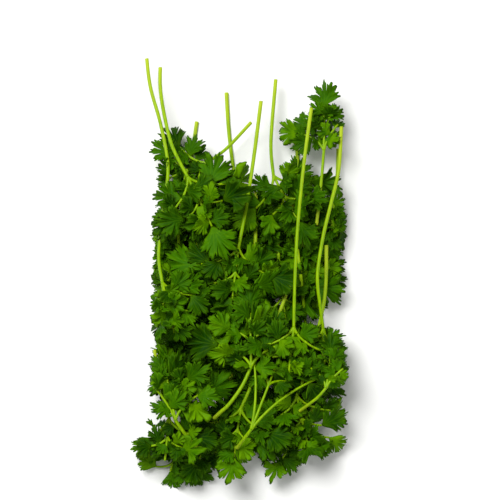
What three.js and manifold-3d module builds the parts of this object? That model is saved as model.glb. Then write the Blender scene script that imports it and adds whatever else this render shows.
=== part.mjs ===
// A loose bunch of cut curly parsley, lying on a surface: separate leafy sprigs, each one compound leaf
// on its own stalk. Millimetres, +Z up. +Y runs towards the cut ends, and the origin is the middle of
// the bunch on the surface that it lies on.
import * as THREE from "three";
import Module from "manifold-3d";

const wasm = await Module();
wasm.setup();

// Driving sizes of the plant
const STALK_RADIUS = 0.92; // at the cut end
const NECK_RADIUS = 0.74; // where the stalk first forks
const FORK_RADIUS = 0.68; // of the middle stem just past that fork
const RAY_RADIUS = 0.58; // of the thin stems that carry the leaflets
const TWIG_RADIUS = 0.52;
const RAY_TIP_RADIUS = 0.44;
const NECK_AT = 0.93; // fraction along the stalk where its last stretch before the fork begins
const FIRST_RING = 0.25; // fraction along a stem where its first ring stands at the latest
const ROUTE_RINGS = 2; // rings to one span of a stalk's route
const COLLAR = 1.1; // length of the short stretch of stem whose sides carry a pair
const LEAFLET_LENGTH = 14.5; // from its stem to its middle tip, on a sprig of size 1
const BLADE_THICKNESS = 0.95; // at the rib; a blade thins to its edge
const BLADE_START = 0.16; // where the free part of a blade begins, over its length
const MIDDLE = [0.04, 1.89, 0]; // what the layout is shifted by, so that the origin is its middle

// How closely the pieces may lie
const BLADE_GAP = 2.2; // between sample points of two leaflets
const STEM_GAP = 1.9; // between a leaflet's points or a stem and another stem
const OPEN_GAP = 4.2; // between a leaflet's points and the stems of a fork that lies open to view
const OWN_REACH = 3.2; // a leaflet's own sprig doesn't count this near the leaflet's root
const FIT_GAP = 0.15; // added to each face of a blade when it is tried against the others
const CROWDING = 1.4; // how much less room than that a leaflet still grows in
const PRESS = 2.5; // how far at most a leaflet is bent up by the surface underneath
const SIDE_ROOM = 41.5; // half the width of the space that the bunch fills
const NARROW_ROOM = 35.5; // the same on the left, down to NARROW_TO
const NARROW_TO = -68;
const END_ROOM = 87;
const TOP_ROOM = 26;
const CORNER = [0.485, -0.875, 82]; // the line that cuts off its right leafy corner: normal and distance
const WALL_GAP = 5; // between a stem's end and the sides of that space, for its leaflets
const LEAST_HEIGHT = 1.2; // of a stem's end over the surface underneath
// Where that surface shows between the leaflets: x, y and radius
const BARE_SPOTS = [[-31, -81, 5], [40, -21.5, 4], [33.6, -64.6, 3.6], [6, -83.5, 3]];

// The sprigs. heading is the way that a sprig's leafy head points, in degrees from +X, and route its
// stalk from the cut end to the first fork. fan is the stems of that fork, the middle one, then the left
// and the right, each as its turn from the heading and its length. An open sprig's fork lies on top.
const FAN = [[0, 22], [56, 16], [-56, 16]];
const SPRIGS = [
  { heading: -72, size: 0.92, route: [[-38, 84, 10], [-36.4, 72, 10], [-32, 56, 12], [-29, 38, 14],
    [-31.2, 18, 16], [-32.4, 3, 17], [-30.8, -8, 18]] },
  { heading: -62, size: 1.0, route: [[-32.4, 79.6, 13], [-32.2, 70, 14], [-30, 57, 17], [-27, 46, 18],
    [-21, 34, 18]] },
  { heading: -88, size: 0.92, route: [[40, 55, 15], [38.8, 37.6, 16], [35.6, 23.6, 18],
    [32.4, 10.4, 19], [30, -5.6, 20], [31.2, -18, 18], [32.4, -26, 15]] },
  { heading: -96, size: 0.85, route: [[28, 62, 18], [25, 40, 20], [22.4, 15, 21.5], [21.2, -5.6, 22],
    [20.6, -26, 21]] },
  { heading: 72, size: 0.86, open: true, fan: [[0, 31], [19, 32], [-21, 40]], route: [[-1.5, -72.4, 14],
    [1, -69.4, 19.5], [4, -65.6, 22.5]] },
  { heading: 97, size: 0.95, route: [[-10.4, -60.8, 15], [-8, -58.8, 18.5], [-4.4, -55.6, 21],
    [0.6, -48.6, 22], [4, -41, 21]] },
  { heading: 96, size: 0.98, route: [[-16, -73, 12], [-20.4, -68.8, 17], [-25.4, -62, 21]] },
  { heading: 76, size: 0.62, route: [[23, -58, 14], [26.6, -55.6, 19.5], [30, -53, 22], [33, -49.6, 23]] },
  { heading: -105, size: 0.72, fan: [[0, 9], [62, 15], [-62, 10]], route: [[-9, -45, 0.95],
    [-13, -54, 0.6], [-18, -63, 0.6], [-26, -75, 2.5]] },
  { heading: -97, size: 1.0, route: [[8, 66, 12], [5, 42, 14], [2, 22, 15], [-1, 6, 16]] },
  { heading: 88, size: 0.74, route: [[30, 16, 11], [32, 34, 12], [33, 46, 13]] },
  { heading: 196, size: 0.8, route: [[4, 58, 9], [-6, 47, 10], [-14, 41, 11]] },
  { heading: -60, size: 0.95, route: [[14, 76, 7], [12, 50, 9], [13, 36, 10]] },
  { heading: -98, size: 0.86, route: [[20, -6, 12], [12, -28, 12], [4, -48, 12], [0, -57, 12]] },
  { heading: -74, size: 0.9, route: [[34, 8, 10], [33, -14, 11], [27, -38, 12], [22, -52, 12]] },
  { heading: -98, size: 0.95, route: [[-18, 60, 0.7], [-20, 46, 0.7], [-23, 30, 0.8], [-27, 12, 2.8]] },
  { heading: -88, size: 1.0, route: [[-6, 72, 0.7], [-5, 56, 0.7], [-3, 40, 0.8], [0, 24, 2.8]] },
  { heading: -86, size: 0.95, route: [[22, 58, 0.7], [23, 42, 0.7], [24, 26, 0.8], [25, 10, 2.8]] },
  { heading: -93, size: 1.0, route: [[-14, 34, 7.5], [-18, 4, 7.5], [-24, -26, 4]] },
  { heading: -92, size: 1.0, route: [[6, 30, 8], [5, -4, 7.5], [0, -26, 4.5]] },
  { heading: -88, size: 0.95, route: [[20, 26, 8], [24, -6, 7.5], [26, -26, 4]] },
  { heading: -80, size: 0.85, route: [[11, -8, 0.65], [8, -22, 0.65], [6, -37, 0.75], [8, -52, 2.8]] },
  { heading: -100, size: 0.75, route: [[-34, -34, 13], [-31, -50, 14], [-28, -61, 15]] },
  { heading: -105, size: 0.75, route: [[-3, -42, 6], [-8.5, -53, 6], [-12, -62, 7]] },
  { heading: -88, size: 0.8, route: [[-29, 52, 5], [-31, 37, 6], [-30, 24, 7]] },
  { heading: -75, size: 0.8, route: [[-22, 32, 12], [-25, 16, 11], [-24, 3, 11]] },
  { heading: -95, size: 0.72, route: [[39, 48, 5], [38.5, 36, 5], [37, 26, 5]] },
  { heading: -110, size: 0.75, route: [[32, -44, 6], [29, -55, 7], [24, -63, 7]] },
  { heading: -100, size: 0.85, route: [[-6, 14, 5], [-10, 2, 5], [-13, -10, 5]] },
  { heading: -80, size: 0.85, route: [[14, 16, 6], [15, 4, 6], [15, -4, 6]] },
];

// What the stems carry: the turn off the stem in degrees, and the size over an end leaflet's
const PAIR = { turn: 66, size: 0.86 };
const TWIG = { turn: 58, length: 9.5 }; // the two smaller stems on the middle one
const TWIG_END_SIZE = 0.95;
const TWIG_LEAFLET = { at: 0.55, size: 0.8 };
// Where they carry it, by fraction along the stem: the middle stem's pair, its twigs, a side stem's pair
const PLACES = { middlePair: 0.76, twigs: 0.44, sidePair: 0.6 };
const OPEN_PLACES = { middlePair: 0.9, twigs: 0.7, sidePair: 0.86 };

// How one differs from the next: the least and the greatest, between which a seeded draw chooses
const RAY_TURN = [-4, 4];
const RAY_RISE = [-0.08, 0.08];
const HEAD_TILT = [-0.15, 0.15];
const LEAFLET_TURN = [-8, 8];
const LEAFLET_LIFT = [-10.4, 15.6];
const LEAFLET_ROLL = [-22, 22];
const LEAFLET_SIZE = [0.88, 1.12];
const CUP = [-0.175, 0.325]; // a blade's cupping, waves and downward arch, over its length
const CRISP = [0.2, 0.54];
const ARCH = [0.1, 0.32];
const FINE_WAVE = 0.6; // of the seven waves round a blade, over the three
const BEND = 0.25; // how far along a stem the point lies that its bend aims at
const FLOW = 0.25; // how much a head follows on from its stalk
const SEED = 7919;
const SEED_STEP = 104729; // from one sprig's seed to the next

// One leaflet's outline: angle about the middle of its blade in degrees, and distance from there over
// its length. Tips and the cuts between them alternate, from one side of the root round to the other.
const BLADE_MIDDLE = 0.34; // from the root, over the leaflet's length
const OUTLINE = [
  [-84, 0.5], [-73, 0.42], [-63, 0.6], [-54, 0.47], [-45, 0.58], [-32, 0.27], [-20, 0.61], [-10, 0.5],
  [0, 0.66], [10, 0.5], [20, 0.61], [32, 0.27], [45, 0.58], [54, 0.47], [63, 0.6], [73, 0.42], [84, 0.5],
];

// Ways to place a leaflet, tried one after another: turn about its own normal, lift and roll in
// degrees, and size
const LEAFLET_TRIES = [
  [0, 0, 0, 1], [0, 22, 0, 1], [0, -22, 0, 1], [0, 0, 32, 1], [0, 0, -32, 1], [24, 0, 0, 1],
  [-24, 0, 0, 1], [0, 40, 0, 1], [0, -40, 0, 1], [20, 22, 20, 0.9], [-20, 22, -20, 0.9],
  [20, -22, -20, 0.9], [-20, -22, 20, 0.9], [0, 55, 0, 0.8], [0, -55, 0, 0.8], [0, 30, 50, 0.8],
  [0, -30, -50, 0.8], [30, 30, 0, 0.75], [-30, 30, 0, 0.75], [30, -30, 0, 0.75], [-30, -30, 0, 0.75],
];

// The same for a stem: turn in degrees, and rise over its length
const RAY_TRIES = [
  [0, 0], [0, 0.14], [0, -0.14], [10, 0], [-10, 0], [0, 0.28], [0, -0.28], [12, 0.16], [-12, 0.16],
  [12, -0.16], [-12, -0.16], [22, 0], [-22, 0], [0, 0.4], [0, -0.4], [34, 0], [-34, 0],
];

// What is looked at when they are tried: how many points of a stalk, which fractions along a stem, and
// how far round its start, over its length
const STALK_SAMPLES = 25;
const RAY_SAMPLES = [0.3, 0.5, 0.7, 0.85, 1];
const RAY_SCOPE = 1.4;
const LEAFLET_SCOPE = 1.15;

const rad = THREE.MathUtils.degToRad;
const { lerp } = THREE.MathUtils;
const between = ([least, greatest], draw) => lerp(least, greatest, draw);

// A row of seeded draws from 0 to 1: each number is 48271 times the last, modulo 2^31 - 1
function drawsFrom(seed) {
  let state = seed;
  return () => {
    state = (state * 48271) % 2147483647;
    return state / 2147483647;
  };
}

// A point on the smooth line through hand-chosen points, at t from 0 to 1 (uniform Catmull-Rom)
function onRoute(points, t) {
  const spans = points.length - 1;
  const i = Math.min(Math.floor(t * spans), spans - 1);
  const u = t * spans - i;
  const at = (k) => points[Math.min(Math.max(k, 0), spans)];
  const [a, b, c, d] = [at(i - 1), at(i), at(i + 1), at(i + 2)];
  const along = (k) =>
    0.5 * (2 * b[k] + (c[k] - a[k]) * u + (2 * a[k] - 5 * b[k] + 4 * c[k] - d[k]) * u * u +
      (3 * b[k] - a[k] - 3 * c[k] + d[k]) * u * u * u);
  return new THREE.Vector3(along(0), along(1), along(2));
}

// A ray's line: leaves its start along the stem that it grows from and bends out to its end
function onRay(ray, t) {
  return ray.start.clone().multiplyScalar((1 - t) * (1 - t))
    .addScaledVector(ray.bend, 2 * t * (1 - t)).addScaledVector(ray.end, t * t);
}

function rayDirection(ray, t) {
  return ray.bend.clone().sub(ray.start).multiplyScalar(1 - t)
    .addScaledVector(ray.end.clone().sub(ray.bend), t).normalize();
}

// The direction across from the given one, as near to wanted as can be
function squareTo(direction, wanted) {
  return wanted.clone().addScaledVector(direction, -wanted.dot(direction)).normalize();
}

// A point of a leaflet's middle surface, at angle phi and distance rho from the middle of its blade:
// a shallow cup with two waves round it, which grow towards the edge and die out at the root
function onLeaflet(leaf, rho, phi) {
  const x = BLADE_MIDDLE + rho * Math.cos(phi);
  const y = rho * Math.sin(phi);
  const waves = Math.sin(3 * phi + leaf.phase) + FINE_WAVE * Math.sin(7 * phi + leaf.phase2);
  const wave = leaf.cup + leaf.crisp * waves;
  const z = rho * rho * wave * Math.min(Math.max(x / BLADE_MIDDLE, 0), 1) - leaf.arch * x * x;
  return leaf.root.clone().addScaledVector(leaf.along, x * leaf.length)
    .addScaledVector(leaf.across, y * leaf.length).addScaledVector(leaf.normal, z * leaf.length);
}

// What would sink into the surface underneath is pressed flat on it
function pressed(p) {
  return new THREE.Vector3(p.x, p.y, Math.max(p.z, 0));
}

// The points that stand for a leaflet when its room is measured
function leafletSamples(leaf) {
  const samples = [onLeaflet(leaf, 0, 0)];
  OUTLINE.forEach(([angle, reach], i) => {
    samples.push(onLeaflet(leaf, reach, rad(angle)));
    if (i % 2 === 0) samples.push(onLeaflet(leaf, reach / 2, rad(angle)));
  });
  return samples;
}

// The sample points in use so far, each with its sprig and the gap that it asks for
const taken = [];

function take(points, owner, gap) {
  for (const p of points) taken.push({ p, owner, gap });
}

function nearTo(centre, reach) {
  return taken.filter((q) => q.p.distanceTo(centre) < reach);
}

// How far a point is inside the sides, ends, corner and top of the space for the bunch
function roomAt(p) {
  const left = (p.y > NARROW_TO ? NARROW_ROOM : SIDE_ROOM) + p.x;
  const corner = CORNER[2] - CORNER[0] * p.x - CORNER[1] * p.y;
  return Math.min(left, SIDE_ROOM - p.x, END_ROOM - Math.abs(p.y), corner, TOP_ROOM - p.z);
}

// How far a point is outside the spots where the surface underneath shows
function offBareSpots(p) {
  return Math.min(...BARE_SPOTS.map(([x, y, radius]) => Math.hypot(p.x - x, p.y - y) - radius));
}

// The smallest slack of some points: their distance to what is near, less the gap asked for there
function slack(points, near) {
  let least = Infinity;
  for (const q of near)
    for (const p of points) least = Math.min(least, p.distanceTo(q.p) - q.gap);
  return least;
}

// One ray from a point of its parent, turned and raised until it is clear of the other sprigs' stems
function growRay(owner, start, forward, up, turn, length, draw) {
  const jitter = between(RAY_TURN, draw());
  const rise = between(RAY_RISE, draw());
  const near = nearTo(start, length * RAY_SCOPE + STEM_GAP)
    .filter((q) => q.owner !== owner)
    .map((q) => ({ p: q.p, gap: STEM_GAP }));
  let best = null;
  for (const [extra, lift] of RAY_TRIES) {
    const heading = forward.clone().applyAxisAngle(up, rad(turn + jitter + extra));
    const ray = {
      start: start.clone(),
      bend: start.clone().addScaledVector(forward, length * BEND).addScaledVector(heading, length * BEND),
      end: start.clone().addScaledVector(heading, length).addScaledVector(up, length * (rise + lift)),
      up: up.clone(),
      length,
    };
    ray.end.z = Math.max(ray.end.z, LEAST_HEIGHT);
    const points = RAY_SAMPLES.map((t) => onRay(ray, t));
    const room = Math.min(slack(points, near), roomAt(ray.end) - WALL_GAP);
    if (!best || room > best.room) best = { ray, room, points };
    if (room >= 0) break;
  }
  take(best.points, owner, SPRIGS[owner].open ? OPEN_GAP : STEM_GAP);
  return best.ray;
}

// One leaflet at fraction f of a ray, turned, lifted and rolled until it is clear, or none
function growLeaflet(owner, ray, f, side, length, draw) {
  const d = [draw(), draw(), draw(), draw(), draw(), draw(), draw()];
  const root = onRay(ray, f);
  const forward = rayDirection(ray, f);
  const up = squareTo(forward, ray.up);
  const near = nearTo(root, length * LEAFLET_SCOPE + OPEN_GAP)
    .filter((q) => q.owner !== owner || q.p.distanceTo(root) > OWN_REACH)
    .map((q) => ({ p: q.p, gap: q.owner === owner ? Math.min(q.gap, BLADE_GAP) : q.gap }));
  let best = null;
  for (const [turn, lift, roll, size] of LEAFLET_TRIES) {
    const along = forward.clone().applyAxisAngle(up, rad(side + turn + between(LEAFLET_TURN, d[0])));
    const hinge = up.clone().cross(along).normalize();
    along.applyAxisAngle(hinge, -rad(lift + between(LEAFLET_LIFT, d[1])));
    const normal = squareTo(along, up).applyAxisAngle(along, rad(roll + between(LEAFLET_ROLL, d[2])));
    const leaf = {
      root, along, normal, across: normal.clone().cross(along).normalize(),
      length: length * size * between(LEAFLET_SIZE, d[3]),
      cup: between(CUP, d[4]), crisp: between(CRISP, d[4]), arch: between(ARCH, d[5]),
      phase: 2 * Math.PI * d[5], phase2: 2 * Math.PI * d[6],
    };
    const loose = leafletSamples(leaf);
    const walls = Math.min(...loose.map((p) => Math.min(roomAt(p), offBareSpots(p), p.z + PRESS)));
    const points = loose.map(pressed);
    const room = Math.min(slack(points, near), walls);
    if (!best || room > best.room) best = { leaf, room, points };
    if (room >= 0) break;
  }
  if (best.room < -CROWDING) return null;
  take(best.points, owner, BLADE_GAP);
  return best.leaf;
}

const placesOn = (sprig) => (sprig.open ? OPEN_PLACES : PLACES);

// The stems of one sprig's head: the middle one with its two twigs, then the left and the right one
function growStems(sprig, owner, draw) {
  const fork = onRoute(sprig.route, 1);
  const heading = new THREE.Vector3(Math.cos(rad(sprig.heading)), Math.sin(rad(sprig.heading)), 0);
  const flow = fork.clone().sub(onRoute(sprig.route, NECK_AT)).normalize();
  flow.z = 0;
  const forward = heading.clone().addScaledVector(flow, FLOW).normalize();
  const upright = new THREE.Vector3(between(HEAD_TILT, draw()), between(HEAD_TILT, draw()), 1);
  const up = squareTo(forward, upright);
  const places = placesOn(sprig);
  const [middle, left, right] = (sprig.fan ?? FAN).map(([turn, length]) =>
    growRay(owner, fork, forward, up, turn, length * sprig.size, draw));
  const start = onRay(middle, places.twigs);
  const onward = rayDirection(middle, places.twigs);
  const twigs = [TWIG.turn, -TWIG.turn].map((turn) =>
    growRay(owner, start, onward, up, turn, TWIG.length * sprig.size, draw));
  return { middle, left, right, twigs };
}

// The leaflets of one sprig, by the stem that they grow on: an end leaflet, and those on its sides
function growLeaflets(sprig, owner, stems, draw) {
  const grow = (ray, f, side, size) =>
    growLeaflet(owner, ray, f, side, LEAFLET_LENGTH * sprig.size * size, draw);
  const onStem = (ray, f) => ({
    end: grow(ray, 1, 0, 1),
    left: grow(ray, f, PAIR.turn, PAIR.size),
    right: grow(ray, f, -PAIR.turn, PAIR.size),
  });
  const { middlePair, sidePair } = placesOn(sprig);
  return {
    middle: onStem(stems.middle, middlePair),
    left: onStem(stems.left, sidePair),
    right: onStem(stems.right, sidePair),
    twigs: stems.twigs.map((ray, k) => {
      const outer = k === 0 ? "left" : "right";
      const turn = k === 0 ? PAIR.turn : -PAIR.turn;
      return {
        end: grow(ray, 1, 0, TWIG_END_SIZE),
        [outer]: grow(ray, TWIG_LEAFLET.at, turn, TWIG_LEAFLET.size),
      };
    }),
  };
}

// A sprig's skin is built from rings of four points. Their order goes round the stem from its upper
// left: upper left, upper right, lower right, lower left.
function addRing(skin, centre, forward, up, radius) {
  const over = squareTo(forward, up);
  const aside = over.clone().cross(forward);
  const half = radius * Math.sqrt(Math.PI) / 2; // a square section with the area of the round one
  return [[1, 1], [-1, 1], [-1, -1], [1, -1]].map(([a, b]) => {
    const corner = centre.clone().addScaledVector(aside, a * half).addScaledVector(over, b * half);
    skin.points.push(pressed(corner));
    return skin.points.length - 1;
  });
}

// Faces from one ring to the next, but for the sides that are left open
function joinRings(skin, a, b, open = {}) {
  [null, "right", null, "left"].forEach((side, k) => {
    const next = (k + 1) % 4;
    if (!open[side]) skin.faces.push([a[k], a[next], b[k]], [a[next], b[next], b[k]]);
  });
}

const capStart = (skin, [a, b, c, d]) => skin.faces.push([a, c, b], [a, d, c]);
const capEnd = (skin, [a, b, c, d]) => skin.faces.push([a, b, c], [a, c, d]);
// The ring on the side of a collar between two rings, as something that grows from it meets it
const leftRing = (a, b) => [a[0], b[0], b[3], a[3]];
const rightRing = (a, b) => [b[1], a[1], a[2], b[2]];

// A stem from the ring that it grows out of, with a collar wherever it carries something on its sides.
// items are {at, left, right}, each side a function that builds on the ring that it is given.
function addStem(skin, ring, ray, from, to, items, end) {
  const half = COLLAR / 2 / ray.length;
  const stops = [{ t: Math.min(FIRST_RING, items[0].at / 2) }];
  for (const item of items) stops.push({ t: item.at - half }, { t: item.at + half, item });
  stops.push({ t: 1 });
  let last = ring;
  for (const { t, item } of stops) {
    const next = addRing(skin, onRay(ray, t), rayDirection(ray, t), ray.up, from + (to - from) * t);
    joinRings(skin, last, next, item);
    if (item?.left) item.left(leftRing(last, next));
    if (item?.right) item.right(rightRing(last, next));
    last = next;
  }
  if (end) end(last);
  else capEnd(skin, last);
}

// A leaflet's blade: faces fan out from the middle of its top and of its underside to one cut edge,
// and narrow down to the ring of four points that it grows from. gap makes each face stand off further.
function bladePoints(leaf, gap) {
  const half = BLADE_THICKNESS / 2 + gap;
  const middle = onLeaflet(leaf, 0, 0);
  const under = pressed(middle.clone().addScaledVector(leaf.normal, -half));
  const over = middle.clone().addScaledVector(leaf.normal, half);
  if (over.distanceTo(under) < 2 * half) over.copy(under).addScaledVector(leaf.normal, 2 * half);
  const onEdge = ([angle, reach]) => onLeaflet(leaf, reach + gap / leaf.length, rad(angle));
  return [pressed(over), under, ...OUTLINE.map((tip) => pressed(onEdge(tip)))];
}

function bladeFaces(first, [a, b, c, d]) {
  const [over, under, edge, last] = [first, first + 1, first + 2, first + 1 + OUTLINE.length];
  const rim = OUTLINE.map((_, i) => edge + i);
  const fan = (centre, loop) => loop.map((p, i) => [centre, p, loop[(i + 1) % loop.length]]);
  const top = fan(over, [...rim, a, b]);
  const bottom = fan(under, [...rim, d, c].reverse());
  return [...top, ...bottom, [last, d, a], [edge, b, c]];
}

function addBlade(skin, ring, leaf) {
  const first = skin.points.length;
  skin.points.push(...bladePoints(leaf, 0));
  skin.faces.push(...bladeFaces(first, ring));
}

function solidOf({ points, faces }) {
  return new wasm.Manifold(new wasm.Mesh({
    numProp: 3, vertProperties: new Float32Array(points.flatMap((p) => [p.x, p.y, p.z])),
    triVerts: new Uint32Array(faces.flat()),
  }));
}

// A blade by itself from some way out of its root, with room round it, to try it against the others
function trialBlade(leaf, from) {
  const skin = { points: [], faces: [] };
  const start = leaf.root.clone().addScaledVector(leaf.along, from * leaf.length);
  const ring = addRing(skin, start, leaf.along, leaf.normal, RAY_TIP_RADIUS);
  capStart(skin, ring);
  skin.faces.push(...bladeFaces(skin.points.length, ring));
  skin.points.push(...bladePoints(leaf, FIT_GAP));
  return solidOf(skin);
}

// The skin of a sprig with the leaflets that are given
function skinOf(sprig, stems, leaflets) {
  const skin = { points: [], faces: [] };
  const blade = (leaf) => leaf && ((ring) => addBlade(skin, ring, leaf));
  const stem = (ray, carried, at, radius) => (ring) =>
    addStem(skin, ring, ray, radius, RAY_TIP_RADIUS,
      [{ at, left: blade(carried.left), right: blade(carried.right) }], blade(carried.end));
  const twig = (k) => stem(stems.twigs[k], leaflets.twigs[k], TWIG_LEAFLET.at, TWIG_RADIUS);
  const { middle } = stems;
  const places = placesOn(sprig);
  const spans = ROUTE_RINGS * (sprig.route.length - 1);
  const thick = Math.sqrt(sprig.size);
  let last = null;
  for (let i = 0; i <= spans; i++) {
    const point = onRoute(sprig.route, i / spans);
    const ahead = onRoute(sprig.route, Math.min((i + 0.5) / spans, 1));
    const behind = onRoute(sprig.route, Math.max((i - 0.5) / spans, 0));
    const radius = thick * (STALK_RADIUS + ((NECK_RADIUS - STALK_RADIUS) * i) / spans);
    const upper = i === spans ? middle.up : new THREE.Vector3(0, 0, 1);
    const ring = addRing(skin, point, ahead.sub(behind).normalize(), upper, radius);
    if (last) joinRings(skin, last, ring);
    else capStart(skin, ring);
    last = ring;
  }
  const out = COLLAR / middle.length;
  const fork = addRing(skin, onRay(middle, out), rayDirection(middle, out), middle.up, FORK_RADIUS);
  const left = stem(stems.left, leaflets.left, places.sidePair, RAY_RADIUS);
  const right = stem(stems.right, leaflets.right, places.sidePair, RAY_RADIUS);
  joinRings(skin, last, fork, { left, right });
  left(leftRing(last, fork));
  right(rightRing(last, fork));
  addStem(skin, fork, middle, FORK_RADIUS, RAY_TIP_RADIUS, [
    { at: places.twigs, left: twig(0), right: twig(1) },
    { at: places.middlePair, left: blade(leaflets.middle.left), right: blade(leaflets.middle.right) },
  ], blade(leaflets.middle.end));
  return skin;
}

function boxesMeet(a, b) {
  const [p, q] = [a.boundingBox(), b.boundingBox()];
  return [0, 1, 2].every((k) => p.min[k] <= q.max[k] && q.min[k] <= p.max[k]);
}

function meet(a, b) {
  return boxesMeet(a, b) && a.intersect(b).volume() > 0;
}

// Growth: first every stalk, then every head's stems, then the leaflets, on the highest forks first
const forkHeight = (i) => SPRIGS[i].route.at(-1)[2];
const order = [...SPRIGS.keys()].sort((a, b) => forkHeight(b) - forkHeight(a));
const draws = SPRIGS.map((_, i) => drawsFrom(SEED + SEED_STEP * (i + 1)));
SPRIGS.forEach(({ route }, i) => {
  for (let k = 0; k < STALK_SAMPLES; k++) take([onRoute(route, k / (STALK_SAMPLES - 1))], i, STEM_GAP);
});
const stems = SPRIGS.map((sprig, i) => growStems(sprig, i, draws[i]));
const leafage = [];
for (const i of order) leafage[i] = growLeaflets(SPRIGS[i], i, stems[i], draws[i]);

// The bare stems as solids. A leaflet stays only if it is clear of all of them and of every leaflet
// that stayed before it, and on its own sprig only its free part counts.
const NO_LEAFLETS = { middle: {}, left: {}, right: {}, twigs: [{}, {}] };
const fitted = SPRIGS.map((sprig, owner) => {
  const solid = solidOf(skinOf(sprig, stems[owner], NO_LEAFLETS));
  return { owner, whole: solid, free: solid };
});
for (const owner of order) {
  const { middle, left, right, twigs } = leafage[owner];
  for (const carried of [middle, left, right, ...twigs])
    for (const place of Object.keys(carried)) {
      const leaf = carried[place];
      if (!leaf) continue;
      const whole = trialBlade(leaf, 0);
      const free = trialBlade(leaf, BLADE_START);
      const meets = (other) => (other.owner === owner ? meet(other.free, free) : meet(other.whole, whole));
      if (fitted.some(meets)) carried[place] = null;
      else fitted.push({ owner, whole, free });
    }
}

const bunch = new THREE.Group();
SPRIGS.forEach((sprig, i) => {
  const skin = skinOf(sprig, stems[i], leafage[i]);
  const geometry = new THREE.BufferGeometry().setFromPoints(skin.points);
  geometry.setIndex(skin.faces.flat());
  geometry.computeVertexNormals();
  const leafGreen = new THREE.MeshStandardMaterial({ color: 0x4c8010, roughness: 0.55, metalness: 0 });
  const mesh = new THREE.Mesh(geometry, leafGreen);
  mesh.name = "sprig_" + String(i + 1).padStart(2, "0");
  mesh.position.set(...MIDDLE);
  bunch.add(mesh);
});

export default bunch;
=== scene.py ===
"""Curly parsley bunch, in metres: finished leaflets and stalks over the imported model."""
import math

import bpy
import numpy as np
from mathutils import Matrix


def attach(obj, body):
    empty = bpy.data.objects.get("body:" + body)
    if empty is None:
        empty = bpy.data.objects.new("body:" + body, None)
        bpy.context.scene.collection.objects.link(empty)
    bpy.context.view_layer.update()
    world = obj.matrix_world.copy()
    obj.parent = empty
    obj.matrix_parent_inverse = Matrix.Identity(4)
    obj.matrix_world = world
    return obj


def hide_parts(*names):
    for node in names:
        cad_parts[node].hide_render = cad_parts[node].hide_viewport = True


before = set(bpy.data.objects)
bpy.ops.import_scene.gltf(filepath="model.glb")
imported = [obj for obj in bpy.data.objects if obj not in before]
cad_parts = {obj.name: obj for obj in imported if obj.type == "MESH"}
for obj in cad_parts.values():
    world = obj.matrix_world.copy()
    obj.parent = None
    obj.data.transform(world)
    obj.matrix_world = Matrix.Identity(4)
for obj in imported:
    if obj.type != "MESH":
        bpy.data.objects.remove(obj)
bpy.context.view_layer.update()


# The view
# The photo looks almost straight down on the bunch, from a little beyond its leafy end, so the
# camera stands there and spans what the photo's 500 by 500 pixels span.
PIXEL = 0.000396  # metres of the bunch to one pixel of the photo
PHOTO_PIXELS = 500
PHOTO_CENTRE = np.array([0.0036, 0.0076, 0.013])  # what the middle of the photo shows
ELEVATION = math.radians(82)
CAMERA_DISTANCE = 0.8

camera_data = bpy.data.cameras.new("camera")
camera = bpy.data.objects.new("camera", camera_data)
bpy.context.collection.objects.link(camera)
bpy.context.scene.camera = camera
camera_data.lens = camera_data.sensor_width * CAMERA_DISTANCE / (PIXEL * PHOTO_PIXELS)
camera_data.clip_start = 0.01
camera_data.clip_end = 20
toward_camera = np.array([0, -math.cos(ELEVATION), math.sin(ELEVATION)])
camera.location = PHOTO_CENTRE + CAMERA_DISTANCE * toward_camera
camera.rotation_euler = (math.pi / 2 - ELEVATION, 0, 0)


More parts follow.
